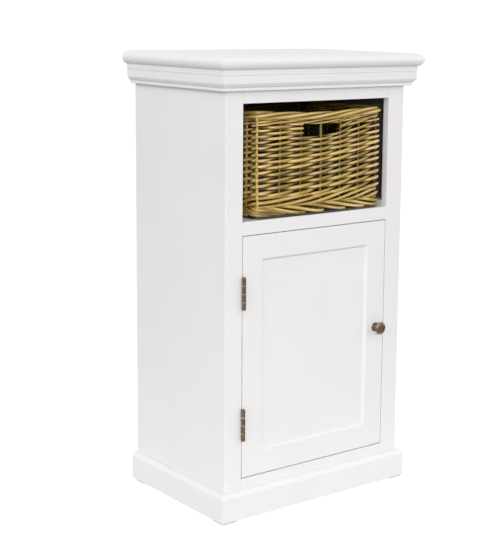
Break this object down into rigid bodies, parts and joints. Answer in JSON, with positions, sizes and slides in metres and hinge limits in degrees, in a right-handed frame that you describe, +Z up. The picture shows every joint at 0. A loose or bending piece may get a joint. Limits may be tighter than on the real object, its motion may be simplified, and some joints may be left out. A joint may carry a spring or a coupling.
{
  "type": "bathroom storage tower",
  "caption": "Narrow white painted cabinet with a hinged framed door below and an open bay holding a woven basket, under a moulded top.",
  "frame": {"origin": "on the floor, below the middle of the top board's outline, at the bottom of the foot pads", "axes": "+X to the right as seen from the front, +Y to the back, +Z up; the door and basket face -Y"},
  "size_m": [0.5, 0.338, 0.8856],
  "materials": {
    "white_paint": "satin white paint over wood",
    "bare_wood": "bare sanded wood",
    "black_lining": "matte black stain over wood",
    "willow": "golden stained woven willow",
    "antique_brass": "dark antique brass, satin",
    "bright_brass": "polished brass",
    "zinc_steel": "zinc-plated",
    "white_plastic": "moulded, satin",
    "dark_magnet": "ground ferrite",
    "pad_plastic": "moulded, matte"
  },
  "bodies": {
    "cabinet": {"side_panel_left": "white_paint", "side_panel_right": "white_paint", "back_panel": "white_paint", "bottom_panel": "white_paint", "divider_shelf": "white_paint", "sub_top": "bare_wood", "frame_stile_left": "white_paint", "frame_stile_right": "white_paint", "frame_rail_top": "white_paint", "frame_rail_middle": "white_paint", "frame_rail_bottom": "white_paint", "top_board": "white_paint", "crown_front": "white_paint", "crown_left": "white_paint", "crown_right": "white_paint", "plinth_front": "white_paint", "plinth_left": "white_paint", "plinth_right": "white_paint", "plinth_back_rail": "bare_wood", "glue_blocks": "bare_wood", "foot_pads": "pad_plastic", "bay_liner_left": "black_lining", "bay_liner_right": "black_lining", "bay_liner_back": "black_lining", "bay_liner_top": "black_lining", "basket_guide_left": "white_paint", "basket_guide_right": "white_paint", "inner_shelf": "white_paint", "shelf_pins": "zinc_steel", "door_stop": "white_paint", "catch_body": "white_plastic", "catch_magnet": "dark_magnet", "back_screws": "zinc_steel", "hinge_leaf_frame_upper": "antique_brass", "hinge_leaf_frame_lower": "antique_brass", "hinge_pin_upper": "antique_brass", "hinge_pin_lower": "antique_brass", "hinge_rings": "bright_brass", "hinge_screws_frame": "antique_brass"},
    "door": {"door_stile_left": "white_paint", "door_stile_right": "white_paint", "door_rail_top": "white_paint", "door_rail_bottom": "white_paint", "door_panel": "white_paint", "door_beads": "white_paint", "hinge_leaf_door_upper": "antique_brass", "hinge_leaf_door_lower": "antique_brass", "hinge_screws_door": "antique_brass", "knob_rose": "antique_brass", "knob": "antique_brass", "knob_screw": "zinc_steel", "catch_strike": "zinc_steel"},
    "basket": {"basket_rim": "willow", "basket_front": "willow", "basket_back": "willow", "basket_left": "willow", "basket_right": "willow", "basket_floor": "willow", "basket_border": "willow"}
  },
  "joints": [
    {"name": "door_hinge", "type": "hinge", "parent": "cabinet", "child": "door", "pos_m": [-0.1799, -0.1441, 0.3148], "axis": [0, 0, -1], "range_deg": [0, 170]},
    {"name": "basket_slide", "type": "slide", "parent": "cabinet", "child": "basket", "axis": [0, -1, 0], "range_m": [0, 0.24]}
  ]
}
